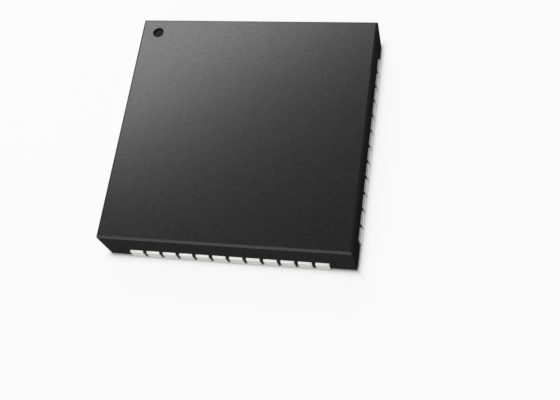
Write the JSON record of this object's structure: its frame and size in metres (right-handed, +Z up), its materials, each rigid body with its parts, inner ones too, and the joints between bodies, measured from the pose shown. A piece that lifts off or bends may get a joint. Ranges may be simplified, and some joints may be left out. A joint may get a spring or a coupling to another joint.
{
  "type": "microcontroller chip",
  "caption": "Square flat no-lead microcontroller chip with a dark moulded body, rows of terminals on each side and an exposed pad below.",
  "frame": {"origin": "centre of the seating plane, level with the undersides of the terminals and of the exposed pad", "axes": "+Z up out of the moulded top face, +Y from the front row to the rear row; terminal 1 is the rear end of the -X row"},
  "size_m": [0.006, 0.006, 0.0011],
  "materials": {
    "mould_compound": "matte, lightly mottled",
    "tinned_lead_frame": "matte tin plating on copper",
    "die_attach": "matte",
    "silicon": "polished",
    "bond_wire": "drawn gold wire"
  },
  "bodies": {
    "root": {"mould_body": "mould_compound", "exposed_pad": "tinned_lead_frame", "die_attach_film": "die_attach", "silicon_die": "silicon", "terminal_01": "tinned_lead_frame", "terminal_02": "tinned_lead_frame", "terminal_03": "tinned_lead_frame", "terminal_04": "tinned_lead_frame", "terminal_05": "tinned_lead_frame", "terminal_06": "tinned_lead_frame", "terminal_07": "tinned_lead_frame", "terminal_08": "tinned_lead_frame", "terminal_09": "tinned_lead_frame", "terminal_10": "tinned_lead_frame", "terminal_11": "tinned_lead_frame", "terminal_12": "tinned_lead_frame", "terminal_13": "tinned_lead_frame", "terminal_14": "tinned_lead_frame", "terminal_15": "tinned_lead_frame", "terminal_16": "tinned_lead_frame", "terminal_17": "tinned_lead_frame", "terminal_18": "tinned_lead_frame", "terminal_19": "tinned_lead_frame", "terminal_20": "tinned_lead_frame", "terminal_21": "tinned_lead_frame", "terminal_22": "tinned_lead_frame", "terminal_23": "tinned_lead_frame", "terminal_24": "tinned_lead_frame", "terminal_25": "tinned_lead_frame", "terminal_26": "tinned_lead_frame", "terminal_27": "tinned_lead_frame", "terminal_28": "tinned_lead_frame", "terminal_29": "tinned_lead_frame", "terminal_30": "tinned_lead_frame", "terminal_31": "tinned_lead_frame", "terminal_32": "tinned_lead_frame", "terminal_33": "tinned_lead_frame", "terminal_34": "tinned_lead_frame", "terminal_35": "tinned_lead_frame", "terminal_36": "tinned_lead_frame", "terminal_37": "tinned_lead_frame", "terminal_38": "tinned_lead_frame", "terminal_39": "tinned_lead_frame", "terminal_40": "tinned_lead_frame", "terminal_41": "tinned_lead_frame", "terminal_42": "tinned_lead_frame", "terminal_43": "tinned_lead_frame", "terminal_44": "tinned_lead_frame", "terminal_45": "tinned_lead_frame", "terminal_46": "tinned_lead_frame", "terminal_47": "tinned_lead_frame", "terminal_48": "tinned_lead_frame", "bond_wires_left": "bond_wire", "bond_wires_front": "bond_wire", "bond_wires_right": "bond_wire", "bond_wires_rear": "bond_wire"}
  },
  "joints": []
}
